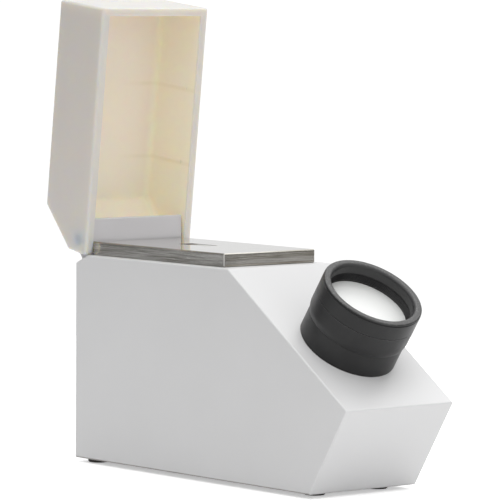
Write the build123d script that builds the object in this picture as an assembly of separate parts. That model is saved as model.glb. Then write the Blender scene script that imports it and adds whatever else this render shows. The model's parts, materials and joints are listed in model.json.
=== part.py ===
from build123d import *
from math import atan2, cos, degrees, hypot, radians, sin
import os

# Gem refractometer: a wedge-ended housing with a stainless stage and glass
# prism on top, a hinged stage lid, and a focusing eyepiece on the slope.
# Millimetres, +Z up, width along X, eyepiece towards -Y.
# While it is built, y = 0 is the outer face of the housing's rear wall and
# z = 0 is the desk. The finished set is then centred along Y.

# Housing
body_width = 40.0
body_length = 124.2  # rear wall to the nose edge
body_top = 62.3  # flat top above the desk
top_length = 71.8  # rear wall to where the slope starts
nose_height = 26.1
base_length = 108.5  # rear wall to the foot of the undercut nose
foot_height = 1.2
wall = 2.5
edge_round = 0.5
heel_length = 5.6  # relief under the lid's hinge corner
heel_drop = 2.4

# Base plate, its screws and the feet
base_thick = 2.0
base_gap = 0.1
base_screw_x = 13.5
base_screw_y = (-14.0, -92.0)
base_screw_radius = 1.2
base_screw_head = 2.25
base_screw_length = 9.0
base_seat_radius = 3.4
boss_side = 7.0
boss_height = 13.0
foot_radius = 3.1
foot_peg_radius = 1.2
foot_peg_length = 1.6
foot_rear_x = 15.0
foot_front_x = 11.7
foot_rear_y = -5.2
foot_front_y = -101.2

# Stage plate, prism, its seal and its spring clip
stage_width = 34.3
stage_thick = 4.0
stage_front = 66.8
stage_rear = 4.5
stage_bevel = 0.3
stage_screw_x = 12.0
stage_screw_y = (-18.0, -60.0)
stage_screw_radius = 1.2
stage_screw_head = 2.3
prism_y = -33.5
prism_radius = 5.8
prism_width = 4.4
seal_width = 0.4
seal_depth = 0.85
face_recess = 0.05  # glass and seal below the stage's polished face
aperture_flare = 4.0
port_half_x = 11.0
port_half_y = 16.0
clip_width = 3.0
clip_thick = 0.4
clip_top_half = 3.4  # flat part under the prism
clip_foot_half = 5.6  # where its legs meet the stage plate
clip_end_half = 9.5
clip_screw_x = 7.6
clip_screw_radius = 0.75

# Lid, in its own plane: u along its length, v across its depth from the rim
lid_lean = 6.4  # forward of upright when open, degrees
lid_length = 74.5
lid_depth = 21.4
lid_side = 2.6
lid_wall = 2.4
lid_bevel_u = 12.4
lid_heel_u = 0.7
lid_heel_v = 9.0
lid_notch_v = 7.0
lid_corner = 1.5
lid_edge_round = 0.9
lid_inner_round = 1.6
lid_mouth_round = 0.3
rim_round = 0.35
lid_gap = 0.15  # rim above the housing when closed
rib_u = (27.0, 49.5)
rib_width = 0.8
rib_height = 0.25

# Hinge
hinge_y = -1.0
hinge_rise = 4.4  # axis above the housing's top
hinge_u = 4.24  # axis from the lid's corner, along u
pin_radius = 1.5
pin_clearance = 0.06
pin_inner_x = 8.8
pin_outer_x = 19.1
socket_outer_x = 19.3
block_half = 17.0
block_front = -4.2
block_rise = 10.85
block_back = 0.2
block_bevel_gap = 0.5
block_side_chamfer = 0.9
stop_gap = 0.05
flange_half = 14.0  # the block's foot, let into the stage plate from below
flange_front = -12.0
flange_thick = 1.6
flange_gap = 0.2
block_screw_x = 9.0
block_screw_y = -8.4
block_screw_radius = 1.0
block_screw_head = 1.75
block_seat_radius = 2.9
block_lug = 6.0
block_lug_depth = 5.5
block_screw_length = 8.5

# Light port in the rear wall
light_z = 46.0
light_bore = 6.5
light_shoulder = 2.6  # depth of the bore, behind the wall's outer face
light_recess = 7.3  # wider bore behind the shoulder, for the glasses
light_sleeve = 8.4
light_flange = 10.0
light_proud = 1.2
light_depth = 6.4
diffuser_thick = 1.0
filter_thick = 1.5
light_retainer_bore = 6.3
nut_flats = 12.0
nut_round = 10.8
nut_thick = 2.2
fit_gap = 0.05

# Eyepiece, on the slope's normal: h is the height above the slope
eye_down_slope = 36.0
mount_radius = 14.5
mount_top = 6.9
spigot_radius = 13.0
spigot_top = 9.2
shank_radius = 12.55
shank_depth = 7.0
cell_bore = 11.5
nut_radius = 15.8
nut_depth = 3.0
ring_radius = 14.95
ring_bottom = 6.96
ring_cone_top = 8.4
ring_cone_blend = 6.0
ring_top = 13.6
ring_web_bottom = 9.4
ring_web_top = 10.1
ring_recess = 13.4
cap_bottom = 13.75
cap_top = 19.0
cap_bore = 12.5
cap_lip_round = 0.45
cap_mouth_round = 1.0
cap_thread_bore = 12.3
cap_thread_depth = 0.22
cap_thread_pitch = 0.4
cap_threads = 6
cap_skirt_radius = 13.3
cap_skirt_bottom = 11.0
cap_groove = 18.15
glass_radius = 12.75
glass_top = 13.2
glass_thick = 0.9
cell_radius = 11.42
cell_inner = 10.2
cell_bottom = -8.0
cell_flange_radius = 12.9
cell_flange_bottom = 10.15
cell_top = 10.8
run_gap = 0.08
focus_travel = 2.0
focus_turn = 240.0  # degrees over the whole travel
key_radius = 0.6
key_height = 3.0
key_slot_spare = 0.3

# Internal optics
mirror_depth = 16.0  # below the slope, along the eyepiece's axis
tube_start = 28.0  # along the optical axis, from the prism's face
tube_end = 54.0
tube_radius = 9.0
tube_inner = 7.5
bracket_half = 14.0
bracket_thick = 3.0
bracket_foot = 2.0
mirror_length = 16.0
mirror_width = 20.0
mirror_thick = 2.5
tray_thick = 1.5
foot_screw_radius = 1.0  # screws through the feet of both brackets
foot_screw_head = 1.9
foot_screw_rise = 1.3
mirror_screw_x = 6.0
bracket_screw_x = 9.0

# Derived places
half_width = body_width / 2
body_bottom = foot_height
stage_top = body_top + stage_thick
glass_face = stage_top - face_recess
slope = degrees(atan2(body_top - nose_height, body_length - top_length))
slope_out = (0, -sin(radians(slope)), cos(radians(slope)))
slope_down = (0, -cos(radians(slope)), -sin(radians(slope)))
eye_y = -top_length + eye_down_slope * slope_down[1]
eye_z = body_top + eye_down_slope * slope_down[2]
eye_plane = Plane(origin=(0, eye_y, eye_z), x_dir=(1, 0, 0), z_dir=slope_out)
light_plane = Plane(origin=(0, 0, light_z), x_dir=(1, 0, 0), z_dir=(0, 1, 0))
hinge_z = body_top + hinge_rise
hinge_v = hinge_rise - lid_gap
lid_open = 90.0 - lid_lean
lean_sin = sin(radians(lid_lean))
lean_cos = cos(radians(lid_lean))
lid_corner_y = hinge_y + hinge_u * lean_sin - hinge_v * lean_cos
lid_corner_z = hinge_z - hinge_u * lean_cos - hinge_v * lean_sin
lid_plane = Plane(
    origin=(0, lid_corner_y, lid_corner_z),
    x_dir=(0, -lean_sin, lean_cos),
    z_dir=(-1, 0, 0),
)


def extrude_yz(points, half, centre_x=0.0):
    """A solid of one outline in the YZ plane, half wide each side of centre_x."""
    outline = make_face(Plane.YZ * Polyline(*points, close=True))
    return Pos(centre_x, 0, 0) * extrude(outline, amount=half, both=True)


def turned(points, plane):
    """A solid of revolution about a plane's normal, from (radius, height) points."""
    outline = make_face(Plane.XZ * Polyline(*points, close=True))
    return plane * revolve(outline, axis=Axis.Z)


def washer(outer, inner, low, high, plane):
    return turned([(inner, low), (outer, low), (outer, high), (inner, high)], plane)


def disc(radius, low, high, plane):
    return plane * Pos(0, 0, low) * Cylinder(
        radius, high - low, align=(Align.CENTER, Align.CENTER, Align.MIN)
    )


def block(low, high):
    """A box between two corners."""
    size = [b - a for a, b in zip(low, high)]
    middle = [(a + b) / 2 for a, b in zip(low, high)]
    return Pos(*middle) * Box(*size)


def pan_screw(head_radius, head_height, shank_radius, shank_length):
    """A slotted pan screw: the head is below z = 0 and the shank above it."""
    head = disc(head_radius, -head_height, 0, Plane.XY)
    head -= Pos(0, 0, -head_height) * Box(2.2 * head_radius, 0.25 * head_radius, head_height)
    return head + disc(shank_radius, 0, shank_length, Plane.XY)


def countersunk_screw(head_radius, shank_radius, length):
    """A slotted countersunk screw: its flat face is at z = 0, its tip above."""
    head_height = head_radius - shank_radius
    outline = [
        (0, 0),
        (head_radius, 0),
        (shank_radius, head_height),
        (shank_radius, length),
        (0, length),
    ]
    body = turned(outline, Plane.XY)
    return body - Box(2.2 * head_radius, 0.25 * head_radius, 0.8)


def nose_y(height):
    """Where the undercut nose face is at a given height."""
    run = (body_length - base_length) / (nose_height - body_bottom)
    return -body_length + (nose_height - height) * run


def housing_outline(bottom):
    return [
        (0, bottom),
        (0, body_top - heel_drop),
        (-heel_length, body_top),
        (-top_length, body_top),
        (-body_length, nose_height),
        (nose_y(bottom), bottom),
    ]


def housing_shell():
    outer = extrude_yz(housing_outline(body_bottom), half_width)
    outer = fillet(outer.edges(), edge_round)
    inner = make_face(Plane.YZ * Polyline(*housing_outline(body_bottom - wall), close=True))
    inner = offset(inner, amount=-wall, kind=Kind.INTERSECTION)
    cavity = extrude(inner, amount=half_width - wall, both=True)
    cavity = fillet(cavity.edges().filter_by(GeomType.LINE).group_by(Axis.Z)[-1], 0.8)
    shell = outer - cavity
    for side in (-1, 1):
        for y in base_screw_y:
            shell += base_boss(side, y)
        shell += hinge_lug(side)
    prism_port = block(
        (-port_half_x, prism_y - port_half_y, body_top - 2 * wall),
        (port_half_x, prism_y + port_half_y, body_top + 1),
    )
    shell -= prism_port
    shell -= disc(light_sleeve + fit_gap, -2 * wall, 1, light_plane)
    shell -= disc(shank_radius + fit_gap, -2 * wall, 1, eye_plane)
    for place in stage_screw_places():
        shell -= place * disc(stage_screw_radius + 0.15, -wall, 2 * wall, Plane.XY)
    for place in hinge_screw_places():
        shell -= place * disc(block_screw_radius + fit_gap, -block_screw_length, 1, Plane.XY)
    return shell


def base_boss(side, y):
    """A post on the side wall, with a blind hole for one base screw."""
    top = body_bottom + base_thick + boss_height
    post = block(
        (base_screw_x - boss_side / 2, y - boss_side / 2, body_bottom + base_thick),
        (half_width - wall + 0.1, y + boss_side / 2, top),
    )
    post -= Pos(base_screw_x, y, 0) * disc(base_screw_radius + fit_gap, 0, top - 2, Plane.XY)
    return post if side > 0 else mirror(post, about=Plane.YZ)


def hinge_lug(side):
    """A lug under the housing's top, for one hinge-block screw."""
    x = side * block_screw_x
    half = block_lug / 2
    return block(
        (x - half, block_screw_y - half, body_top - wall - block_lug_depth),
        (x + half, block_screw_y + half, body_top - wall + 0.1),
    )


def hinge_screw_places():
    """Where the screws' flat heads lie, on top of the block's flange."""
    for side in (-1, 1):
        yield Pos(side * block_screw_x, block_screw_y, body_top + flange_thick)


def stage_screw_places():
    for x in (-stage_screw_x, stage_screw_x):
        for y in stage_screw_y:
            yield Pos(x, y, body_top - wall)


def base_plate():
    low = (-half_width + wall + base_gap, nose_y(body_bottom) + wall + 1.0, body_bottom)
    high = (half_width - wall - base_gap, -wall - base_gap, body_bottom + base_thick)
    plate = block(low, high)
    upright = plate.edges().filter_by(Axis.Z)
    plate = fillet(upright, 0.6)
    bore = base_screw_radius + fit_gap
    seat = [(0, -1), (base_seat_radius, -1), (bore, base_seat_radius - bore - 1), (bore, 3), (0, 3)]
    for place in base_screw_places():
        plate -= place * turned(seat, Plane.XY)
    for x, y in foot_places().values():
        plate -= Pos(x, y, body_bottom) * disc(foot_peg_radius, -1, foot_peg_length, Plane.XY)
    for place in bracket_screw_places() + mirror_screw_places():
        plate -= place * disc(foot_screw_radius, -base_thick - 1, 1, Plane.XY)
    return plate


def base_screw_places():
    return [Pos(x, y, body_bottom) for x in (-base_screw_x, base_screw_x) for y in base_screw_y]


def base_screws():
    screw = countersunk_screw(base_screw_head, base_screw_radius, base_screw_length)
    return [place * Pos(0, 0, 0.1) * screw for place in base_screw_places()]


def foot_places():
    return {
        "foot_rear_left": (-foot_rear_x, foot_rear_y),
        "foot_rear_right": (foot_rear_x, foot_rear_y),
        "foot_front_left": (-foot_front_x, foot_front_y),
        "foot_front_right": (foot_front_x, foot_front_y),
    }


def rubber_foot(x, y):
    pad = disc(foot_radius, 0, foot_height, Plane.XY)
    pad = chamfer(pad.edges().sort_by(Axis.Z)[0], 0.3)
    peg = disc(foot_peg_radius, foot_height, foot_height + foot_peg_length, Plane.XY)
    return Pos(x, y, 0) * (pad + peg)


def stage_plate():
    half = stage_width / 2
    plate = block((-half, -stage_front, body_top), (half, -stage_rear, stage_top))
    plate = chamfer(plate.edges(), stage_bevel)
    half_x = prism_width / 2 + seal_width
    half_y = prism_radius + seal_width
    flare = aperture_flare
    aperture = [
        (prism_y - half_y - flare, body_top - 0.01),
        (prism_y - half_y, body_top + flare - 1),
        (prism_y - half_y, stage_top + 1),
        (prism_y + half_y, stage_top + 1),
        (prism_y + half_y, body_top + flare - 1),
        (prism_y + half_y + flare, body_top - 0.01),
    ]
    plate -= extrude_yz(aperture, half_x)
    plate -= block(
        (-flange_half - flange_gap, flange_front - flange_gap, body_top - 1),
        (flange_half + flange_gap, 0, body_top + flange_thick + flange_gap),
    )
    for place in stage_screw_places():
        plate -= place * disc(stage_screw_radius + fit_gap, 0, wall + 3, Plane.XY)
    for place in clip_screw_places():
        plate -= place * disc(clip_screw_radius + fit_gap, 0, clip_thick + 2.4, Plane.XY)
    return plate


def stage_screws():
    screw = pan_screw(stage_screw_head, 1.6, stage_screw_radius, wall + 2.7)
    return [place * screw for place in stage_screw_places()]


def prism():
    outline = Plane.YZ * Pos(prism_y, glass_face) * (
        Circle(prism_radius) & Pos(0, -prism_radius / 2) * Rectangle(3 * prism_radius, prism_radius)
    )
    return extrude(outline, amount=prism_width / 2, both=True)


def prism_seal():
    outer = (prism_width + 2 * seal_width, 2 * (prism_radius + seal_width))
    frame = Rectangle(*outer) - Rectangle(prism_width, 2 * prism_radius)
    return Pos(0, prism_y, glass_face - seal_depth) * extrude(frame, amount=seal_depth)


def clip_screw_places():
    return [Pos(x, prism_y, body_top - clip_thick) for x in (-clip_screw_x, clip_screw_x)]


def prism_clip():
    """A hat-shaped leaf spring that holds the prism up from below."""
    low = glass_face - prism_radius
    grow = 0.15  # the lower side's bends are further out
    half = [
        (clip_top_half, low),
        (clip_foot_half, body_top),
        (clip_end_half, body_top),
        (clip_end_half, body_top - clip_thick),
        (clip_foot_half + grow, body_top - clip_thick),
        (clip_top_half + grow, low - clip_thick),
    ]
    outline = half + [(-x, z) for x, z in reversed(half)]
    face = make_face(Plane.XZ * Polyline(*outline, close=True))
    clip = Pos(0, prism_y, 0) * extrude(face, amount=clip_width / 2, both=True)
    for place in clip_screw_places():
        clip -= place * disc(clip_screw_radius + fit_gap, -1, 1, Plane.XY)
    return clip


def prism_clip_screws():
    screw = pan_screw(1.35, 0.8, clip_screw_radius, 2.6)
    return [place * screw for place in clip_screw_places()]


def bevel_direction():
    """Unit vector (u, v) up the lid's bevel, from its heel."""
    run = lid_bevel_u - lid_heel_u
    rise = lid_depth - lid_heel_v
    size = hypot(run, rise)
    return run / size, rise / size


def hinge_block():
    """Fixed upstand that carries the pins, with a bevelled back and a stop lip."""
    du, dv = bevel_direction()
    inset = lid_wall + block_bevel_gap
    bevel_u = lid_heel_u + inset * dv
    bevel_v = lid_heel_v - inset * du

    def back_y(z):
        """The bevelled back at height z, square to the closed lid's bevel."""
        v = z - body_top - lid_gap
        u = bevel_u + (v - bevel_v) * du / dv
        return hinge_y + hinge_u - u

    def back_z(y):
        u = hinge_y + hinge_u - y
        v = bevel_v + (u - bevel_u) * dv / du
        return v + body_top + lid_gap

    top = body_top + block_rise
    stop_v = lid_notch_v - stop_gap

    def stop_point(u):
        y = lid_corner_y - u * lean_sin + stop_v * lean_cos
        z = lid_corner_z + u * lean_cos + stop_v * lean_sin
        return y, z

    heel_slope = heel_drop / heel_length
    front_z = body_top - heel_drop - block_front * heel_slope
    outline = [
        (block_front, front_z),
        (block_front, top),
        (back_y(top), top),
        (block_back, back_z(block_back)),
        (block_back, stop_point(lid_wall)[1]),
        stop_point(lid_wall),
        stop_point(0.2),
        (0.0, body_top - heel_drop),
    ]
    solid = extrude_yz(outline, block_half)
    front_top = solid.edges().filter_by(Axis.X).group_by(Axis.Z)[-1].sort_by(Axis.Y)[0]
    solid = fillet(front_top, 0.5)
    low_back = (block_back, (back_z(block_back) + stop_point(lid_wall)[1]) / 2)
    bevel_back = ((back_y(top) + block_back) / 2, (top + back_z(block_back)) / 2)
    corners = []
    for x in (-block_half, block_half):
        for y, z in (low_back, bevel_back):
            corners.append(solid.edges().sort_by_distance((x, y, z))[0])
    solid = chamfer(corners, block_side_chamfer)
    for side in (-1, 1):
        start = pin_inner_x if side > 0 else -block_half - 1
        length = block_half + 1 - pin_inner_x
        bore = Plane.YZ * Pos(hinge_y, hinge_z, start) * Cylinder(
            pin_radius, length, align=(Align.CENTER, Align.CENTER, Align.MIN)
        )
        solid -= bore
    solid += block(
        (-flange_half, flange_front, body_top),
        (flange_half, block_front + 0.1, body_top + flange_thick),
    )
    bore = block_screw_radius + fit_gap
    seat_depth = block_seat_radius - bore - 1
    seat = [(0, 1), (block_seat_radius, 1), (bore, -seat_depth), (bore, -5), (0, -5)]
    for place in hinge_screw_places():
        solid -= place * turned(seat, Plane.XY)
    return solid


def hinge_pin(side):
    length = pin_outer_x - pin_inner_x
    start = pin_inner_x if side > 0 else -pin_outer_x
    pin = Cylinder(pin_radius, length, align=(Align.CENTER, Align.CENTER, Align.MIN))
    pin = chamfer(pin.edges(), 0.2)
    return Plane.YZ * Pos(hinge_y, hinge_z, start) * pin


def hinge_block_screws():
    screw = countersunk_screw(block_screw_head, block_screw_radius, block_screw_length - 1)
    return [place * Pos(0, 0, -0.1) * Rot(180, 0, 0) * screw for place in hinge_screw_places()]


def lid_outline(rim):
    return [
        (lid_heel_u * rim / lid_heel_v, rim),
        (lid_length, rim),
        (lid_length, lid_depth),
        (lid_bevel_u, lid_depth),
        (lid_heel_u, lid_heel_v),
    ]


def lid_shell():
    outer = extrude(make_face(Polyline(*lid_outline(0), close=True)), half_width, both=True)
    corner = outer.edges().filter_by(Axis.Z).sort_by_distance((0, 0, 0))[0]
    outer = fillet(corner, lid_corner)
    rim_face = outer.faces().sort_by(Axis.Y)[0]
    rim_edges = [e.center() for e in rim_face.edges()]
    soft = [e for e in outer.edges() if all((e.center() - c).length > 0.01 for c in rim_edges)]
    soft = [e for e in soft if abs(e.center().X) + abs(e.center().Y) > 2 * lid_corner]
    outer = fillet(soft, lid_edge_round)
    rim_face = outer.faces().sort_by(Axis.Y)[0]
    rim = [e for e in rim_face.edges() if e.center().X > 2 * lid_corner]
    outer = fillet(rim, rim_round)
    inner = make_face(Polyline(*lid_outline(-lid_wall), close=True))
    inner = offset(inner, amount=-lid_wall, kind=Kind.INTERSECTION)
    cavity = extrude(inner, half_width - lid_side, both=True)
    cavity = fillet(cavity.edges().filter_by(Axis.Y), lid_mouth_round)
    cavity = fillet([e for e in cavity.edges() if e.center().Y > lid_wall + 2], lid_inner_round)
    for u in rib_u:
        groove = block(
            (u - rib_width / 2, lid_wall + 2, -half_width),
            (u + rib_width / 2, lid_depth - lid_wall - 2, half_width),
        )
        keep = block(
            (u - rib_width, 0, -half_width + lid_side + rib_height),
            (u + rib_width, lid_depth, half_width - lid_side - rib_height),
        )
        cavity -= groove - keep
    shell = outer - cavity
    notch_half = half_width - lid_side
    notch_u = lid_wall + lid_inner_round + 0.1
    shell -= block((-1, -1, -notch_half), (notch_u, lid_notch_v, notch_half))
    for side in (-1, 1):
        start = 10 if side > 0 else -socket_outer_x
        socket = Pos(hinge_u, hinge_v, start) * Cylinder(
            pin_radius + pin_clearance,
            socket_outer_x - 10,
            align=(Align.CENTER, Align.CENTER, Align.MIN),
        )
        shell -= socket
    return lid_plane * shell


def light_bezel():
    """A flanged sleeve: a bore from outside, then a shoulder and a wider recess."""
    outline = [
        (light_recess, -light_depth),
        (light_sleeve, -light_depth),
        (light_sleeve, 0),
        (light_flange, 0),
        (light_flange, light_proud - 0.4),
        (light_flange - 0.4, light_proud),
        (light_bore + 0.3, light_proud),
        (light_bore, light_proud - 0.3),
        (light_bore, -light_shoulder),
        (light_recess, -light_shoulder),
    ]
    return turned(outline, light_plane)


def light_filter():
    return disc(light_recess - fit_gap, -light_shoulder - filter_thick, -light_shoulder, light_plane)


def light_diffuser():
    top = -light_shoulder - filter_thick
    return disc(light_recess - fit_gap, top - diffuser_thick, top, light_plane)


def light_retainer():
    top = -light_shoulder - filter_thick - diffuser_thick
    return washer(light_recess, light_retainer_bore, -light_depth + 0.1, top, light_plane)


def light_port_nut():
    low = -wall - nut_thick
    nut = washer(nut_round, light_sleeve, low, -wall, light_plane)
    flats = RegularPolygon(nut_flats, 6)
    return nut & light_plane * Pos(0, 0, low) * extrude(flats, amount=nut_thick)


def optics_axis():
    """Plane at the prism's face, its normal along the beam to the mirror."""
    start = Vector(0, prism_y, stage_top)
    return Plane(origin=start, x_dir=(1, 0, 0), z_dir=mirror_centre() - start)


def mirror_centre():
    return Vector(0, eye_y, eye_z) - Vector(*slope_out) * mirror_depth


def optics_tube():
    plane = optics_axis()
    tube = washer(tube_radius, tube_inner, tube_start, tube_end, plane)
    shoulder = washer(tube_inner, tube_inner - 0.8, tube_start + 5.6, tube_end - 5.0, plane)
    return tube + shoulder


def objective_lens():
    return convex_lens(tube_inner, tube_start + 2.6, 1.6, 3.0, optics_axis(), -1)


def convex_lens(radius, low, edge, centre, plane, side):
    """A plano-convex lens; side +1 bulges along the normal, -1 against it."""
    clear = radius - 0.9
    sag = centre - edge
    ball = (clear**2 + sag**2) / (2 * sag)
    rim = disc(radius, low, low + edge, plane)
    apex = low + edge + sag if side > 0 else low - sag
    middle = apex - side * ball
    cap = plane * Pos(0, 0, middle) * Sphere(ball)
    core_low, core_high = (low + edge, apex + 1) if side > 0 else (apex - 1, low)
    return rim + (cap & disc(clear, core_low, core_high, plane))


def objective_retainer():
    plane = optics_axis()
    low = tube_start + 0.4
    return washer(tube_inner, tube_inner - 0.85, low, tube_start + 2.6, plane)


def objective_spacer():
    plane = optics_axis()
    low = tube_start + 4.2
    return washer(tube_inner, tube_inner - 0.85, low, tube_start + 5.6, plane)


def scale_reticle():
    plane = optics_axis()
    return disc(tube_inner, tube_end - 5.0, tube_end - 4.0, plane)


def reticle_retainer():
    plane = optics_axis()
    return washer(tube_inner, tube_inner - 0.8, tube_end - 4.0, tube_end - 1.0, plane)


def bracket_y():
    plane = optics_axis()
    return (plane.origin + plane.z_dir * (tube_start + tube_end) / 2).Y


def bracket_screw_places():
    z = body_bottom + base_thick
    return [Pos(x, bracket_y() + 7.5, z) for x in (-bracket_screw_x, bracket_screw_x)]


def optics_bracket():
    """An upright that holds the tube, on a foot screwed to the base plate."""
    floor = body_bottom + base_thick
    middle = bracket_y()
    upright = block(
        (-bracket_half, middle - bracket_thick / 2, floor),
        (bracket_half, middle + bracket_thick / 2, body_top - wall - 0.6),
    )
    foot = block(
        (-bracket_half, middle - bracket_thick / 2, floor),
        (bracket_half, middle + 12.0, floor + bracket_foot),
    )
    solid = upright + foot
    window = block(
        (-9.0, middle - bracket_thick, floor + 6),
        (9.0, middle + bracket_thick, floor + 24),
    )
    solid -= window
    solid -= disc(tube_radius, tube_start - 5, tube_end + 5, optics_axis())
    for place in bracket_screw_places():
        solid -= place * disc(foot_screw_radius + fit_gap, -1, 4, Plane.XY)
    return solid


def foot_screw(thick):
    """A screw put in from above, through a bracket's foot of this thickness."""
    length = thick + base_thick - 0.3
    screw = pan_screw(foot_screw_head, foot_screw_rise, foot_screw_radius, length)
    return Pos(0, 0, thick) * Rot(180, 0, 0) * screw


def optics_bracket_screws():
    return [place * foot_screw(bracket_foot) for place in bracket_screw_places()]


def mirror_plane():
    """Plane on the mirror's face, which turns the beam up the eyepiece."""
    turn = Vector(*slope_out) - optics_axis().z_dir
    return Plane(origin=mirror_centre(), x_dir=(1, 0, 0), z_dir=turn)


def mirror_glass():
    slab = Box(
        mirror_width,
        mirror_length,
        mirror_thick,
        align=(Align.CENTER, Align.CENTER, Align.MAX),
    )
    return mirror_plane() * chamfer(slab.edges(), 0.25)


def mirror_screw_places():
    z = body_bottom + base_thick
    return [Pos(x, mirror_plane().origin.Y - 3.5, z) for x in (-mirror_screw_x, mirror_screw_x)]


def mirror_bracket():
    """A tray under the mirror on an upright and a foot, as folded sheet."""
    floor = body_bottom + base_thick
    plane = mirror_plane()
    half = mirror_width / 2
    tray = plane * Pos(0, 0, -mirror_thick) * Box(
        mirror_width,
        mirror_length,
        tray_thick,
        align=(Align.CENTER, Align.CENTER, Align.MAX),
    )
    middle = plane.origin.Y
    upright = block(
        (-half, middle + 1.5, floor),
        (half, middle + 3.0, plane.origin.Z - mirror_thick - 1.4),
    )
    foot = block((-half, middle - 7.5, floor), (half, middle + 3.0, floor + tray_thick))
    solid = tray + upright + foot
    for place in mirror_screw_places():
        solid -= place * disc(foot_screw_radius + fit_gap, -1, 4, Plane.XY)
    return solid


def mirror_bracket_screws():
    return [place * foot_screw(tray_thick) for place in mirror_screw_places()]


def eyepiece_mount():
    outline = [
        (cell_bore, -shank_depth),
        (shank_radius, -shank_depth),
        (shank_radius, 0),
        (mount_radius, 0),
        (mount_radius, mount_top),
        (spigot_radius, mount_top),
        (spigot_radius, spigot_top),
        (cell_bore, spigot_top),
    ]
    return turned(outline, eye_plane) - key_solid(key_radius, 10.0, 13.9)


def key_solid(radius, low, high):
    """A radial peg towards the top of the slope, at the key's height."""
    peg = Cylinder(radius, high - low, align=(Align.CENTER, Align.CENTER, Align.MIN))
    return eye_plane * Pos(0, low, key_height) * Rot(-90, 0, 0) * peg


def guide_pin():
    return key_solid(key_radius, cell_radius - 0.5, 13.8)


def eyepiece_nut():
    nut = washer(nut_radius, shank_radius + fit_gap, -wall - nut_depth, -wall, eye_plane)
    for angle in (0, 90, 180, 270):
        slot = Rot(0, 0, angle) * Pos(nut_radius, 0, -wall - nut_depth) * Box(3, 2, 2)
        nut -= eye_plane * slot
    return nut


def focus_ring():
    outline = [
        (spigot_radius + run_gap, ring_bottom),
        (mount_radius, ring_bottom),
        (ring_radius, ring_cone_top),
        (ring_radius, ring_top),
        (ring_recess, ring_top),
        (ring_recess, ring_web_top),
        (cell_radius + run_gap, ring_web_top),
        (cell_radius + run_gap, ring_web_bottom),
        (spigot_radius + run_gap, ring_web_bottom),
    ]
    ring = turned(outline, Plane.XY)
    bend = [e for e in ring.edges().filter_by(GeomType.CIRCLE) if abs(e.center().Z - ring_cone_top) < 0.01]
    return eye_plane * fillet(bend, ring_cone_blend)


def lens_cell():
    """The sliding tube, with a slot for the guide pin and a flange at its top."""
    outline = [
        (cell_inner - 0.8, cell_bottom),
        (cell_radius, cell_bottom),
        (cell_radius, cell_flange_bottom),
        (cell_flange_radius, cell_flange_bottom),
        (cell_flange_radius, cell_top),
        (cell_inner, cell_top),
        (cell_inner, cell_bottom + 1),
        (cell_inner - 0.8, cell_bottom + 1),
    ]
    cell = turned(outline, eye_plane)
    slot_low = key_height - focus_travel - key_radius - key_slot_spare
    slot_high = key_height + key_radius + key_slot_spare
    slot = block((-0.75, 5, slot_low), (0.75, 15, slot_high))
    return cell - eye_plane * slot


def eye_lens():
    return convex_lens(cell_inner, 7.5, 2.0, 4.0, eye_plane, -1)


def field_lens():
    return convex_lens(cell_inner, cell_bottom + 1, 1.5, 3.5, eye_plane, 1)


def lens_spacer():
    return washer(cell_inner, cell_inner - 0.85, cell_bottom + 2.5, 7.5, eye_plane)


def eye_lens_retainer():
    return washer(cell_inner, cell_inner - 0.85, 9.5, cell_top, eye_plane)


def polarizer_cap():
    """The turning top ring: a grooved outside, and a threaded seat above the glass."""
    outline = [
        (cap_thread_bore, glass_top),
        (glass_radius + fit_gap, glass_top),
        (glass_radius + fit_gap, cap_skirt_bottom),
        (cap_skirt_radius, cap_skirt_bottom),
        (cap_skirt_radius, cap_bottom),
        (ring_radius, cap_bottom),
        (ring_radius, cap_groove),
        (ring_radius - 0.22, cap_groove + 0.12),
        (ring_radius - 0.22, cap_groove + 0.22),
        (ring_radius - 0.05, cap_groove + 0.32),
        (ring_radius - 0.05, cap_top),
        (cap_bore, cap_top),
    ]
    thread_top = glass_top + 0.2 + cap_threads * cap_thread_pitch
    outline.append((cap_bore, thread_top))
    for turn in range(cap_threads):
        crest = thread_top - turn * cap_thread_pitch
        outline.append((cap_thread_bore, crest))
        outline.append((cap_thread_bore + cap_thread_depth, crest - cap_thread_pitch / 2))
    outline.append((cap_thread_bore, thread_top - cap_threads * cap_thread_pitch))
    cap = turned(outline, Plane.XY)
    mouth = cap.edges().group_by(Axis.Z)[-1].sort_by(SortBy.LENGTH)[0]
    cap = fillet(mouth, cap_mouth_round)
    lip = cap.edges().group_by(Axis.Z)[-1].sort_by(SortBy.LENGTH)[-1]
    return eye_plane * fillet(lip, cap_lip_round)


def polarizer_glass():
    return disc(glass_radius, glass_top - glass_thick, glass_top, eye_plane)


def polarizer_retainer():
    top = glass_top - glass_thick
    return washer(glass_radius, 11.8, cap_skirt_bottom, top, eye_plane)


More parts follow.
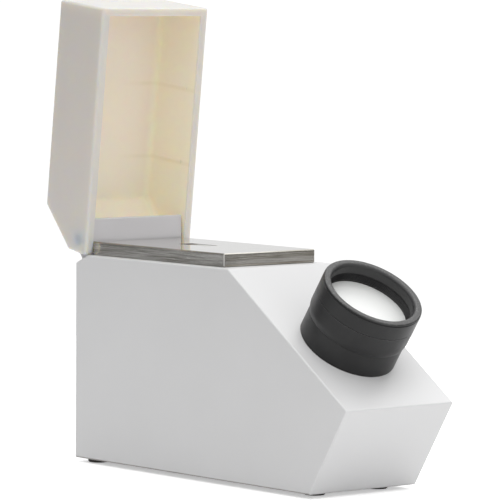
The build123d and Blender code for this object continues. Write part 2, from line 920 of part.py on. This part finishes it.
def all_parts():
    parts = {
        "housing_shell": housing_shell(),
        "base_plate": base_plate(),
        "base_screws": base_screws(),
        "stage_plate": stage_plate(),
        "stage_screws": stage_screws(),
        "prism": prism(),
        "prism_seal": prism_seal(),
        "prism_clip": prism_clip(),
        "prism_clip_screws": prism_clip_screws(),
        "hinge_block": hinge_block(),
        "hinge_block_screws": hinge_block_screws(),
        "hinge_pin_left": hinge_pin(-1),
        "hinge_pin_right": hinge_pin(1),
        "lid_shell": lid_shell(),
        "light_bezel": light_bezel(),
        "light_diffuser": light_diffuser(),
        "light_filter": light_filter(),
        "light_retainer": light_retainer(),
        "light_port_nut": light_port_nut(),
        "optics_tube": optics_tube(),
        "objective_lens": objective_lens(),
        "objective_retainer": objective_retainer(),
        "objective_spacer": objective_spacer(),
        "scale_reticle": scale_reticle(),
        "reticle_retainer": reticle_retainer(),
        "optics_bracket": optics_bracket(),
        "optics_bracket_screws": optics_bracket_screws(),
        "mirror": mirror_glass(),
        "mirror_bracket": mirror_bracket(),
        "mirror_bracket_screws": mirror_bracket_screws(),
        "eyepiece_mount": eyepiece_mount(),
        "eyepiece_nut": eyepiece_nut(),
        "guide_pin": guide_pin(),
        "focus_ring": focus_ring(),
        "lens_cell": lens_cell(),
        "eye_lens": eye_lens(),
        "field_lens": field_lens(),
        "lens_spacer": lens_spacer(),
        "eye_lens_retainer": eye_lens_retainer(),
        "polarizer_cap": polarizer_cap(),
        "polarizer_glass": polarizer_glass(),
        "polarizer_retainer": polarizer_retainer(),
    }
    for name, (x, y) in foot_places().items():
        parts[name] = rubber_foot(x, y)
    return parts


def as_shape(part):
    solids = part if isinstance(part, list) else [part]
    solids = [solid for item in solids for solid in item.solids()]
    return solids[0] if len(solids) == 1 else Compound(solids)


def middle_of(shapes):
    """Half-way along Y between the foremost and rearmost faces."""
    boxes = [shape.bounding_box() for shape in shapes]
    return (min(b.min.Y for b in boxes) + max(b.max.Y for b in boxes)) / 2


shapes = {name: as_shape(part) for name, part in all_parts().items()}
middle_y = middle_of(shapes.values())

os.makedirs("parts", exist_ok=True)
for name, shape in shapes.items():
    export_step(Pos(0, -middle_y, 0) * shape, f"parts/{name}.step")

print("rear wall at y =", round(-middle_y, 4))
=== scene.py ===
"""Looks of the gem refractometer: materials, visual detail, studio and camera.

Lengths are metres in the CAD frame: X across the width, -Y towards the
eyepiece, Z up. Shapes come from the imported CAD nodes.
"""

import json
import math

import bpy
from mathutils import Matrix, Vector


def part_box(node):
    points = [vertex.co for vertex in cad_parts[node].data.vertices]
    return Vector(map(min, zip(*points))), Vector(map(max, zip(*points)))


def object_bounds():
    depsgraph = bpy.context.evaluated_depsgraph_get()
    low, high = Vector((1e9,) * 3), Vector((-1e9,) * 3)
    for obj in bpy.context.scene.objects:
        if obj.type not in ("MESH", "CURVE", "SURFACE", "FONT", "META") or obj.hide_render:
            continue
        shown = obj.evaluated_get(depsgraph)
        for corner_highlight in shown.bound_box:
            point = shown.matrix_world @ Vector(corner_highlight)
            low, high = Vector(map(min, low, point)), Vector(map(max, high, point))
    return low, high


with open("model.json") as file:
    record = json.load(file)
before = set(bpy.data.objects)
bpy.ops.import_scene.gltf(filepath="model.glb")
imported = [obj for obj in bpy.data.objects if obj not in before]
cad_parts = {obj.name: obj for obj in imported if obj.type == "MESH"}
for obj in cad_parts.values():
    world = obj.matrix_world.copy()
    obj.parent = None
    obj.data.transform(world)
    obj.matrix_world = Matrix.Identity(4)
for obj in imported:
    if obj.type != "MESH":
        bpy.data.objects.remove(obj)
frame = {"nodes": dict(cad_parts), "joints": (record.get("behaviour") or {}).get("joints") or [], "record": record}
CAD_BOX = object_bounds()
MM = 0.001

# ---------------------------------------------------------------- places

BODY_LOW, BODY_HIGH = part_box("housing_shell")
STAGE_LOW, STAGE_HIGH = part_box("stage_plate")
LID_JOINT = next(j for j in frame["joints"] if j["name"] == "lid_hinge")
SLIDE_JOINT = next(j for j in frame["joints"] if j["name"] == "focus_slide")

RIGHT = Vector((1, 0, 0))
FRONT = Vector((0, -1, 0))
UP = Vector((0, 0, 1))

EYE_AXIS = Vector(SLIDE_JOINT["axis"]).normalized()  # also the normal of the slope
EYE_UP = EYE_AXIS.cross(RIGHT)
BORE_RADIUS = 12.5 * MM  # of the top ring's mouth

LID_LEAN = math.radians(90.0 - LID_JOINT["range_deg"][1])
LID_UP = Vector((0, -math.sin(LID_LEAN), math.cos(LID_LEAN)))  # from the hinge to the open lid's end
LID_BACK = Vector((0, math.cos(LID_LEAN), math.sin(LID_LEAN)))  # from its rim to its back wall
HEEL_NORMAL = LID_UP * 0.727 - LID_BACK * 0.686  # into the lid from its bevelled heel
LID_WALL = 2.4 * MM
LID_SIDE_WALL = 2.6 * MM


def reach(node, direction):
    """Least and greatest distance of a CAD node's points along a direction."""
    spans = [v.co.dot(direction) for v in frame["nodes"][node].data.vertices]
    return min(spans), max(spans)


LID_RIM, LID_REAR = reach("lid_shell", LID_BACK)
LID_SIDE = reach("lid_shell", RIGHT)[1]
LID_TOP = reach("lid_shell", LID_UP)[1]
HEEL_INNER = reach("lid_shell", HEEL_NORMAL)[0] + LID_WALL
LID_RIBS = (LID_TOP - 25.4 * MM, LID_TOP - 47.9 * MM)  # shaded side of each rib, along LID_UP
RIB_SHADE = 1.0 * MM  # reach of the shade to each side


# ------------------------------------------------------- material helpers


class Shader:
    """A node material with one Principled shader and small helpers."""

    def __init__(self, name, **sockets):
        self.material = bpy.data.materials.new(name)
        self.material.use_nodes = True
        self.tree = self.material.node_tree
        self.tree.nodes.clear()
        self.out = self.tree.nodes.new("ShaderNodeOutputMaterial")
        self.bsdf = self.tree.nodes.new("ShaderNodeBsdfPrincipled")
        self.link(self.bsdf.outputs["BSDF"], self.out.inputs["Surface"])
        for key, value in sockets.items():
            self.bsdf.inputs[key.replace("_", " ")].default_value = value
        self.coords = self.tree.nodes.new("ShaderNodeTexCoord")

    def link(self, source, target):
        self.tree.links.new(source, target)

    def feed(self, socket, value):
        """Links an output, or sets a plain value, on a socket."""
        if isinstance(value, bpy.types.NodeSocket):
            self.link(value, socket)
        elif value is not None:
            socket.default_value = value

    def math(self, operation, a, b=None, clamp=False):
        node = self.tree.nodes.new("ShaderNodeMath")
        node.operation = operation
        node.use_clamp = clamp
        self.feed(node.inputs[0], a)
        self.feed(node.inputs[1], b)
        return node.outputs[0]

    def span(self, value, low, high, to_low=0.0, to_high=1.0, smooth=False):
        """Maps low..high to to_low..to_high, clamped."""
        node = self.tree.nodes.new("ShaderNodeMapRange")
        node.clamp = True
        if smooth:
            node.interpolation_type = "SMOOTHSTEP"
        for key, item in zip(("Value", "From Min", "From Max", "To Min", "To Max"),
                             (value, low, high, to_low, to_high)):
            self.feed(node.inputs[key], item)
        return node.outputs["Result"]

    def mapped(self, stretch):
        """CAD coordinates times a factor each, which draws a noise out where that is small."""
        node = self.tree.nodes.new("ShaderNodeMapping")
        node.inputs["Scale"].default_value = stretch
        self.link(self.coords.outputs["Object"], node.inputs["Vector"])
        return node.outputs["Vector"]

    def noise(self, size, detail=3.0, rough=0.5, vector=None):
        """Noise whose features are about size metres across."""
        node = self.tree.nodes.new("ShaderNodeTexNoise")
        node.inputs["Scale"].default_value = 1.0 / size
        node.inputs["Detail"].default_value = detail
        node.inputs["Roughness"].default_value = rough
        self.feed(node.inputs["Vector"], vector or self.coords.outputs["Object"])
        return node.outputs["Fac"]

    def mix(self, factor, a, b):
        """Colour a where the factor is 0, b where it is 1."""
        node = self.tree.nodes.new("ShaderNodeMix")
        node.data_type = "RGBA"
        self.feed(node.inputs["Factor"], factor)
        for socket, value in ((node.inputs[6], a), (node.inputs[7], b)):
            self.feed(socket, (*value, 1.0) if isinstance(value, tuple) else value)
        return node.outputs[2]

    def blend(self, factor, a, b):
        """Number a where the factor is 0, b where it is 1."""
        node = self.tree.nodes.new("ShaderNodeMix")
        self.feed(node.inputs["Factor"], factor)
        for socket, value in ((node.inputs[2], a), (node.inputs[3], b)):
            self.feed(socket, value)
        return node.outputs[0]

    def bump(self, height, depth, strength):
        """Bump of this depth in metres."""
        node = self.tree.nodes.new("ShaderNodeBump")
        node.inputs["Strength"].default_value = strength
        node.inputs["Distance"].default_value = depth
        self.link(height, node.inputs["Height"])
        return node.outputs["Normal"]

    def axis(self, direction):
        """Distance of the shaded point along a direction, in the CAD frame."""
        node = self.tree.nodes.new("ShaderNodeVectorMath")
        node.operation = "DOT_PRODUCT"
        self.link(self.coords.outputs["Object"], node.inputs[0])
        node.inputs[1].default_value = tuple(direction)
        return node.outputs["Value"]

    def facing(self, direction):
        """Cosine between the surface's own normal and a direction."""
        node = self.tree.nodes.new("ShaderNodeVectorMath")
        node.operation = "DOT_PRODUCT"
        self.link(self.coords.outputs["Normal"], node.inputs[0])
        node.inputs[1].default_value = tuple(direction)
        return node.outputs["Value"]

    def spots(self, size, detail=3.0, low=0.3, high=0.7):
        """Noise spread over 0..1."""
        return self.span(self.noise(size, detail), low, high)

    def surface(self, color, rough, normal=None):
        """Links the shader's main inputs and gives the finished material."""
        for key, value in (("Base Color", color), ("Roughness", rough), ("Normal", normal)):
            if value is not None:
                self.link(value, self.bsdf.inputs[key])
        return self.material


# -------------------------------------------------------------- materials


def moulded(s, color, rough):
    """Satin moulded surface with a fine spark-eroded grain."""
    grain = s.noise(0.22 * MM, 2.0)
    sheen = s.span(s.noise(9 * MM, 3.0), 0.3, 0.7, rough - 0.04, rough + 0.05)
    return s.surface(color, sheen, s.bump(grain, 0.012 * MM, 0.35))


def housing_plastic():
    """White plastic, with painted shade darkening the top of the slope and painted light towards its front end,
    and a dark painted contact shade along its lower edge.
    """
    s = Shader("housing_plastic", IOR=1.49, Specular_IOR_Level=0.45)
    color = s.mix(s.spots(38 * MM, 2.0, 0.35, 0.65), (0.760, 0.760, 0.764), (0.745, 0.745, 0.748))
    height = s.axis(UP)
    # painted shade and light: the slope's faces are tinted darker towards the top and lighter lower down
    slope_shade_ramp = s.span(height, BODY_LOW.z + 28 * MM, BODY_HIGH.z - 3 * MM)
    slope = s.mix(slope_shade_ramp, (0.790, 0.790, 0.793), (0.700, 0.700, 0.703))
    color = s.mix(s.span(s.facing(EYE_AXIS), 0.93, 0.985), color, slope)
    # painted contact shade: a dark brown line along the housing's lowest half millimetre, at full strength on the
    # near side and a quarter as strong elsewhere
    hem_shade = s.span(height, BODY_LOW.z + 0.20 * MM, BODY_LOW.z + 0.55 * MM, 0.75, 0.0)
    near_side = s.span(s.facing(-RIGHT), 0.4, 0.8, 0.25, 1.0)
    color = s.mix(s.math("MULTIPLY", hem_shade, near_side), color, (0.16, 0.125, 0.10))
    return moulded(s, color, 0.38)


def hinge_plastic():
    """Grey plastic of the upstand in the lid's foot."""
    s = Shader("hinge_plastic", IOR=1.49, Specular_IOR_Level=0.35)
    color = s.mix(s.spots(38 * MM, 2.0, 0.35, 0.65), (0.67, 0.66, 0.675), (0.65, 0.64, 0.655))
    return moulded(s, color, 0.50)


def lid_plastic():
    """Translucent white plastic outside; within the box of the lid a warm painted glow stands in for light shining
    through its walls.
    """
    s = Shader("lid_plastic", IOR=1.49, Subsurface_Weight=1.0, Subsurface_Scale=5 * MM)
    s.bsdf.inputs["Subsurface Radius"].default_value = (1.0, 0.75, 0.45)
    cloud = s.spots(30 * MM, 2.0, 0.35, 0.65)
    outer = s.mix(cloud, (0.690, 0.678, 0.655), (0.690, 0.684, 0.668))
    color = s.mix(lid_inner_faces(s), outer, lid_inner_glow(s, cloud))
    grain = s.noise(0.25 * MM, 2.0)
    sheen = s.span(s.noise(11 * MM, 3.0), 0.3, 0.7, 0.36, 0.46)
    return s.surface(color, sheen, s.bump(grain, 0.012 * MM, 0.35))


def lid_inner_faces(s):
    """1 on the faces within the lid's walls, 0 on its rim and outside."""
    side = LID_SIDE - LID_SIDE_WALL
    back = LID_REAR - LID_WALL
    end = LID_TOP - LID_WALL
    depth = s.axis(LID_BACK)
    mask = s.span(s.math("ABSOLUTE", s.axis(RIGHT)), side + 0.3 * MM, side)
    for limit in (
        s.span(depth, LID_RIM + 0.1 * MM, LID_RIM + 0.9 * MM),
        s.span(depth, back + 0.8 * MM, back + 0.2 * MM),
        s.span(s.axis(LID_UP), end + 0.8 * MM, end + 0.2 * MM),
        s.span(s.axis(HEEL_NORMAL), HEEL_INNER - 0.9 * MM, HEEL_INNER),
    ):
        mask = s.math("MULTIPLY", mask, limit)
    return mask


def lid_inner_glow(s, cloud):
    """Painted glow within the lid, for light through its walls: peach on the back wall, yellower on the side walls
    and towards the foot.
    """
    peach = s.mix(cloud, (0.993, 0.832, 0.758), (0.990, 0.848, 0.780))
    yellow = s.mix(cloud, (0.997, 0.886, 0.775), (0.995, 0.892, 0.790))
    walls = s.span(s.math("ABSOLUTE", s.axis(RIGHT)), LID_SIDE - 5.5 * MM, LID_SIDE - 3.2 * MM)
    foot = s.span(s.axis(LID_UP), LID_TOP - 60 * MM, LID_TOP - 42 * MM, 0.6, 0.0)
    inner_glow_color = s.mix(s.math("ADD", walls, foot, clamp=True), peach, yellow)
    return s.mix(lid_rib_shade(s), inner_glow_color, (0.80, 0.70, 0.55))


def lid_rib_shade(s):
    """Faint shadow beside the two low ribs within the lid, on its far half."""
    shade = 0.0
    for rib in LID_RIBS:
        gap = s.math("ABSOLUTE", s.math("SUBTRACT", s.axis(LID_UP), rib))
        line = s.span(gap, 0.1 * MM, RIB_SHADE, 0.30, 0.0, smooth=True)
        shade = s.math("ADD", line, shade)
    shade = s.math("MULTIPLY", shade, s.span(s.axis(RIGHT), 3 * MM, 13 * MM))
    return s.math("MULTIPLY", shade, s.span(s.noise(7 * MM, 2.0), 0.35, 0.65, 0.5, 1.0))


def ground_steel():
    """Stainless plate: polished face, sides ground along their length, a painted highlight on the bevel of its
    near front upright edge.
    """
    s = Shader("stainless", Metallic=1.0)
    top = s.span(s.facing(UP), 0.80, 0.95)
    # painted highlight: the near front upright bevel is lighter and rougher
    corner_highlight = s.span(s.facing((FRONT - RIGHT).normalized()), 0.85, 0.97)
    lines = s.noise(0.28 * MM, 4.0, 0.7, s.mapped((0.02, 0.02, 1.0)))
    face = s.mix(s.spots(6 * MM, 2.0), (0.78, 0.77, 0.745), (0.82, 0.81, 0.79))
    color = s.mix(top, ground_sides(s, lines, corner_highlight), face)
    side_rough = s.blend(corner_highlight, s.span(lines, 0.3, 0.7, 0.14, 0.28), 0.5)
    face_rough = s.span(s.noise(2.5 * MM, 4.0, 0.6), 0.3, 0.7, 0.05, 0.09)
    relief = s.math("MULTIPLY", lines, s.math("SUBTRACT", 1.0, top))
    return s.surface(color, s.blend(top, side_rough, face_rough), s.bump(relief, 0.02 * MM, 0.3))


def ground_sides(s, lines, corner_highlight):
    """Streaked sides; the front is a browner copy as painted reflection, with a pale painted highlight low down;
    painted shade along the lower brinks and a painted dark reflection along the upper brinks.
    """
    height = s.span(s.axis(UP), STAGE_LOW.z, STAGE_HIGH.z)
    bands = s.noise(0.9 * MM, 3.0, 0.6, s.mapped((0.03, 0.03, 1.0)))
    streak = s.span(s.math("ADD", lines, bands), 0.82, 1.18)
    flank = s.mix(streak, (0.43, 0.415, 0.38), (0.80, 0.79, 0.76))
    # painted reflection: the front face gets its own browner copy of the streaked colours
    front_reflection_color = s.mix(streak, (0.40, 0.365, 0.30), (0.80, 0.77, 0.71))
    # painted highlight: a pale band low on the front face
    ledge_highlight = s.math("MULTIPLY", s.span(height, 0.14, 0.26), s.span(height, 0.52, 0.36))
    front_reflection_color = s.mix(s.math("MULTIPLY", ledge_highlight, 0.6), front_reflection_color, (0.95, 0.93, 0.88))
    side = s.mix(s.span(s.facing(FRONT), 0.80, 0.95), flank, front_reflection_color)
    # painted shade along the bottom edge of the sides, where the plate meets the housing, and a painted dark
    # reflection along their top edge
    brink_shade = s.math("ADD", s.span(height, 0.80, 0.94), s.span(height, 0.10, 0.02), clamp=True)
    side = s.mix(s.math("MULTIPLY", brink_shade, 0.45), side, (0.25, 0.235, 0.20))
    return s.mix(corner_highlight, side, (0.62, 0.61, 0.59))


def anodised(name, pale, deep, rough):
    """Matte black anodised aluminium."""
    s = Shader(name, IOR=1.45)
    color = s.mix(s.spots(5 * MM, 4.0), pale, deep)
    grain = s.noise(0.12 * MM, 2.0)
    sheen = s.span(s.noise(3 * MM, 4.0), 0.3, 0.7, rough - 0.05, rough + 0.06)
    return s.surface(color, sheen, s.bump(grain, 0.008 * MM, 0.3))


def eyepiece_black():
    """Satin black anodised rings: turning marks, dust, painted light in the mouth of the bore, and worn corners
    that also serve as a painted highlight.
    """
    s = Shader("eyepiece_black", IOR=1.45)
    height = s.axis(EYE_AXIS)
    base = s.mix(s.spots(6 * MM, 4.0), (0.0120, 0.0120, 0.0125), (0.0165, 0.0165, 0.0170))
    # painted light greys the mouth of the top ring's bore
    base = s.mix(lit_bore_mouth(s, height), base, (0.046, 0.046, 0.0465))
    # real wear and a painted highlight on the lip and the focusing ring's upper edge
    color = s.mix(worn_and_highlit_corners(s, height), base, (0.16, 0.16, 0.158))
    dust = s.span(s.noise(0.35 * MM, 3.0, 0.6), 0.70, 0.74, 0.0, 0.35)
    color = s.mix(dust, color, (0.16, 0.16, 0.155))
    turning_pitch = 0.16 * MM
    turning = s.math("SINE", s.math("MULTIPLY", height, 2 * math.pi / turning_pitch))
    marks = s.math("ADD", s.math("MULTIPLY", turning, 0.2), s.noise(0.12 * MM, 2.0))
    sheen = s.span(s.noise(3 * MM, 4.0), 0.3, 0.7, 0.32, 0.42)
    return s.surface(color, sheen, s.bump(marks, 0.008 * MM, 0.3))


def lit_bore_mouth(s, height):
    """1 on the mouth of the top ring's bore, greyed there as painted light, else 0."""
    cap_high = reach("polarizer_cap", EYE_AXIS)[1]
    across = s.axis(RIGHT)
    along = s.math("SUBTRACT", s.axis(EYE_UP), sum(reach("polarizer_cap", EYE_UP)) / 2)
    squares = s.math("ADD", s.math("MULTIPLY", along, along), s.math("MULTIPLY", across, across))
    within = s.span(s.math("SQRT", squares), BORE_RADIUS + 0.2 * MM, BORE_RADIUS + 0.9 * MM, 1.0, 0.0)
    return s.math("MULTIPLY", within, s.span(height, cap_high - 3.4 * MM, cap_high - 3.1 * MM))


def worn_and_highlit_corners(s, height):
    """Broken wear along the lip of the top ring and the upper edge of the focusing ring, lighter there also as a
    painted highlight.
    """
    worn = 0.0
    for node, width in (("polarizer_cap", 0.40 * MM), ("focus_ring", 0.16 * MM)):
        level = reach(node, EYE_AXIS)[1]
        near = s.math("ABSOLUTE", s.math("SUBTRACT", height, level))
        worn = s.math("ADD", s.span(near, 0.05 * MM, width, 1.0, 0.0), worn)
    scuffs = s.span(s.noise(0.5 * MM, 5.0, 0.75), 0.52, 0.66, 0.25, 1.0)
    return s.math("MULTIPLY", worn, scuffs, clamp=True)


def plain_metal(name, pale, deep, rough):
    """Bare metal with fine lines along the length."""
    s = Shader(name, Metallic=1.0)
    color = s.mix(s.spots(2 * MM), pale, deep)
    lines = s.noise(0.08 * MM, 3.0, 0.6, s.mapped((1.0, 0.05, 1.0)))
    sheen = s.span(lines, 0.3, 0.7, rough - 0.06, rough + 0.08)
    return s.surface(color, sheen, s.bump(lines, 0.01 * MM, 0.25))


def rubber(name, pale, deep):
    """Dull rubber with an open grain."""
    s = Shader(name, IOR=1.5, Specular_IOR_Level=0.3)
    color = s.mix(s.spots(1.5 * MM, 4.0), pale, deep)
    grain = s.noise(0.15 * MM, 3.0)
    sheen = s.span(s.noise(1.0 * MM, 3.0), 0.3, 0.7, 0.65, 0.85)
    return s.surface(color, sheen, s.bump(grain, 0.03 * MM, 0.5))


def glass(name, pale, deep, through, rough=0.03):
    """Glass that lets this share of the light through, with a trace of dust on its face."""
    s = Shader(name, IOR=1.52, Transmission_Weight=through)
    color = s.mix(s.spots(8 * MM, 2.0, 0.35, 0.65), pale, deep)
    sheen = s.span(s.noise(0.7 * MM, 5.0, 0.7), 0.55, 0.8, rough, rough + 0.08)
    return s.surface(color, sheen)


def prism_glass():
    """Dense polished glass, its rear third dark, dull and not clear."""
    s = Shader("prism_glass", IOR=1.8)
    low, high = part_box("prism")
    wander = s.math("MULTIPLY", s.noise(1.2 * MM), 0.8 * MM)
    edge = s.math("SUBTRACT", wander, s.axis(FRONT))
    start = high.y - (high.y - low.y) * 0.36
    dull = s.span(edge, start, start + 0.5 * MM)
    clear = s.mix(s.spots(8 * MM, 2.0, 0.35, 0.65), (0.62, 0.60, 0.48), (0.58, 0.56, 0.44))
    color = s.mix(dull, clear, (0.060, 0.052, 0.034))
    s.link(s.blend(dull, 0.55, 0.0), s.bsdf.inputs["Transmission Weight"])
    return s.surface(color, s.blend(dull, 0.03, 0.85))


def dress():
    """Gives every CAD node its finish, by the record's material slots."""
    finishes = {
        "housing_plastic": housing_plastic(),
        "lid_plastic": lid_plastic(),
        "hinge_plastic": hinge_plastic(),
        "stainless": ground_steel(),
        "screw_steel": plain_metal("screw_steel", (0.58, 0.57, 0.55), (0.48, 0.47, 0.46), 0.30),
        "black_aluminium": anodised(
            "black_aluminium", (0.030, 0.030, 0.031), (0.038, 0.038, 0.039), 0.5),
        "plain_aluminium": plain_metal(
            "plain_aluminium", (0.72, 0.72, 0.73), (0.64, 0.64, 0.65), 0.38),
        "eyepiece_black": eyepiece_black(),
        "seal_black": rubber("seal_black", (0.050, 0.042, 0.032), (0.035, 0.030, 0.024)),
        "foot_rubber": rubber("foot_rubber", (0.150, 0.145, 0.132), (0.115, 0.112, 0.102)),
        "spring_bronze": plain_metal(
            "spring_bronze", (0.66, 0.44, 0.25), (0.54, 0.35, 0.19), 0.28),
        "prism_glass": prism_glass(),
        "lens_glass": glass("lens_glass", (0.93, 0.96, 0.95), (0.90, 0.94, 0.93), 0.95),
        # painted reflection: the filter disc is opaque and pale, for the overhead light mirrored in its glass
        "filter_glass": glass("filter_glass", (0.93, 0.94, 0.925), (0.91, 0.92, 0.905), 0.0, 0.22),
        "opal_glass": glass("opal_glass", (0.86, 0.85, 0.80), (0.82, 0.81, 0.76), 0.25, 0.35),
        "amber_glass": glass("amber_glass", (0.90, 0.50, 0.05), (0.82, 0.42, 0.04), 0.7),
        "mirror_glass": plain_metal("mirror_glass", (0.93, 0.93, 0.93), (0.91, 0.91, 0.92), 0.08),
    }
    for entry in frame["record"]["subparts"]:
        node = frame["nodes"][entry["node"]]
        node.data.materials.clear()
        node.data.materials.append(finishes[entry["material_slot"]])


# ------------------------------------------------------------------ studio

FLOOR_RADIUS = 0.45
FLOOR_GAP = 0.05 * MM  # below the feet
FLOOR_GLOW = 0.44
FLOOR_GLOW_UNDER = 0.50
KEY_SIZE = 0.9
KEY_DISTANCE = 1.1
KEY_DIRECTION = Vector((0.25, 0.05, 0.96)).normalized()
KEY_POWER = 4.2

# Each light of the sky: its direction, the cosines where it starts and is full, its strength.
SKY = (
    ((0.0, 0.0, 1.0), 0.30, 0.95, 0.42),  # ceiling
    ((-0.10, -0.80, 0.60), 0.45, 0.95, 0.82),  # front, high
    ((-0.55, -0.10, 0.83), 0.75, 0.97, 0.86),  # left, high
    ((-0.45, 0.85, 0.30), 0.55, 0.95, 0.20),  # rear left
    ((0.90, 0.30, 0.30), 0.55, 0.95, 0.44),  # far right, through the lid's wall
    ((0.0, 0.0, -1.0), -0.02, 0.06, 0.08),  # below the horizon
    ((0.62, 0.20, 0.75), 0.86, 0.96, 0.80),  # small panel that the filter glass reflects
    ((0.45, -0.89, 0.02), 0.85, 0.98, 0.11),  # low strip in front, for the plate's front
    ((0.30, 0.95, 0.05), 0.85, 0.98, 0.24),  # low strip behind, for the plate's top
    ((0.62, 0.77, 0.14), 0.78, 0.96, 0.29),  # white sheet behind the set
)
BACKDROP = 1.05  # what the camera sees past the floor


def floor():
    """A plain pale round floor, a hair under the feet."""
    obj = bpy.data.objects.new("studio_floor", floor_mesh())
    bpy.context.scene.collection.objects.link(obj)
    obj.location.z = CAD_BOX[0].z - FLOOR_GAP
    obj.data.materials.append(floor_paper())


def floor_mesh():
    """Disc of rings and spokes round the origin."""
    rings, spokes = 6, 96
    mesh = bpy.data.meshes.new("studio_floor")
    points = [(0.0, 0.0, 0.0)]
    faces = []
    for ring in range(1, rings + 1):
        radius = FLOOR_RADIUS * ring / rings
        for spoke in range(spokes):
            turn = 2 * math.pi * spoke / spokes
            points.append((radius * math.cos(turn), radius * math.sin(turn), 0.0))
    for spoke in range(spokes):
        following = (spoke + 1) % spokes
        faces.append((0, 1 + spoke, 1 + following))
        for ring in range(rings - 1):
            a = 1 + ring * spokes
            faces.append((a + spoke, a + spokes + spoke, a + spokes + following, a + following))
    mesh.from_pydata(points, [], faces)
    return mesh


def floor_paper():
    """Off-white paper, lit up to white for the camera only."""
    s = Shader("studio_floor", Specular_IOR_Level=0.2)
    color = s.mix(s.spots(0.3, 2.0), (0.93, 0.93, 0.93), (0.95, 0.95, 0.95))
    rough = s.span(s.noise(0.1, 2.0), 0.3, 0.7, 0.55, 0.65)
    s.bsdf.inputs["Emission Color"].default_value = (1, 1, 1, 1)
    path = s.tree.nodes.new("ShaderNodeLightPath")
    glow = s.math("MULTIPLY", floor_glow(s), path.outputs["Is Camera Ray"])
    s.link(glow, s.bsdf.inputs["Emission Strength"])
    return s.surface(color, rough)


def floor_glow(s):
    """Glow of the paper: a little stronger in the housing's own shade than round it."""
    middle = (BODY_LOW + BODY_HIGH) / 2
    core = (BODY_HIGH - BODY_LOW) / 2 - Vector((10, 10, 0)) * MM
    squares = []
    for axis in (RIGHT, -FRONT):
        offset = s.math("ABSOLUTE", s.math("SUBTRACT", s.axis(axis), middle.dot(axis)))
        out = s.math("MAXIMUM", s.math("SUBTRACT", offset, core.dot(axis)), 0.0)
        squares.append(s.math("MULTIPLY", out, out))
    away = s.math("SQRT", s.math("ADD", *squares))
    return s.span(away, 0.0, 16 * MM, FLOOR_GLOW_UNDER, FLOOR_GLOW, smooth=True)


def studio_light():
    """One large soft box overhead, a little to the right."""
    light = bpy.data.lights.new("key", "AREA")
    light.shape = "SQUARE"
    light.size = KEY_SIZE
    light.energy = KEY_POWER
    lamp = bpy.data.objects.new("key", light)
    bpy.context.scene.collection.objects.link(lamp)
    centre = (CAD_BOX[0] + CAD_BOX[1]) / 2
    lamp.location = centre + KEY_DIRECTION * KEY_DISTANCE
    lamp.rotation_euler = KEY_DIRECTION.to_track_quat("Z", "Y").to_euler()


def sky_light(tree, direction, low, high, bright):
    """Strength of one soft light of the sky, in each direction of the world."""
    coords = tree.nodes.new("ShaderNodeTexCoord")
    dot = tree.nodes.new("ShaderNodeVectorMath")
    dot.operation = "DOT_PRODUCT"
    tree.links.new(coords.outputs["Generated"], dot.inputs[0])
    dot.inputs[1].default_value = tuple(Vector(direction).normalized())
    span = tree.nodes.new("ShaderNodeMapRange")
    span.interpolation_type = "SMOOTHSTEP"
    for key, value in (("From Min", low), ("From Max", high), ("To Max", bright)):
        span.inputs[key].default_value = value
    tree.links.new(dot.outputs["Value"], span.inputs["Value"])
    return span.outputs["Result"]


def studio_world():
    """White backdrop to the camera; to everything else, the soft lights of the sky."""
    world = bpy.data.worlds.new("studio")
    bpy.context.scene.world = world
    world.use_nodes = True
    tree = world.node_tree
    tree.nodes.clear()
    lights = [sky_light(tree, *row) for row in SKY]
    total = lights[0]
    for light in lights[1:]:
        add = tree.nodes.new("ShaderNodeMath")
        tree.links.new(total, add.inputs[0])
        tree.links.new(light, add.inputs[1])
        total = add.outputs[0]
    sky = tree.nodes.new("ShaderNodeBackground")
    tree.links.new(total, sky.inputs["Strength"])
    backdrop = tree.nodes.new("ShaderNodeBackground")
    backdrop.inputs["Strength"].default_value = BACKDROP
    for node in (sky, backdrop):
        node.inputs["Color"].default_value = (1, 1, 1, 1)
    path = tree.nodes.new("ShaderNodeLightPath")
    mix = tree.nodes.new("ShaderNodeMixShader")
    tree.links.new(path.outputs["Is Camera Ray"], mix.inputs["Fac"])
    tree.links.new(sky.outputs[0], mix.inputs[1])
    tree.links.new(backdrop.outputs[0], mix.inputs[2])
    out = tree.nodes.new("ShaderNodeOutputWorld")
    tree.links.new(mix.outputs[0], out.inputs["Surface"])


# ------------------------------------------------------------------ camera

AZIMUTH = math.radians(-39.59)
ELEVATION = math.radians(3.96)
ROLL = math.radians(0.41)
DISTANCE = 1.13885
FOCAL = 282.2
AIM = Vector((-1.98, -60.09, 66.37)) * MM  # from the foot of the housing's rear wall


def camera():
    """Long lens from the front left, a little above the stage."""
    data = bpy.data.cameras.new("camera")
    data.lens = FOCAL
    data.sensor_width = 36.0
    data.clip_start = 0.05
    data.clip_end = 20.0
    data.dof.use_dof = False
    obj = bpy.data.objects.new("camera", data)
    bpy.context.scene.collection.objects.link(obj)
    back = Vector((
        math.sin(AZIMUTH) * math.cos(ELEVATION),
        -math.cos(AZIMUTH) * math.cos(ELEVATION),
        math.sin(ELEVATION),
    ))
    right = Vector((math.cos(AZIMUTH), math.sin(AZIMUTH), 0))
    up = back.cross(right)
    side = right * math.cos(ROLL) + up * math.sin(ROLL)
    top = up * math.cos(ROLL) - right * math.sin(ROLL)
    turn = Matrix((side, top, back)).transposed()
    rear = Vector((0, BODY_HIGH.y, 0))
    obj.matrix_world = Matrix.Translation(rear + AIM + back * DISTANCE) @ turn.to_4x4()
    bpy.context.scene.camera = obj


# -------------------------------------------------------------------- make

dress()
floor()
studio_light()
studio_world()
camera()
bpy.context.scene.view_settings.view_transform = "Standard"
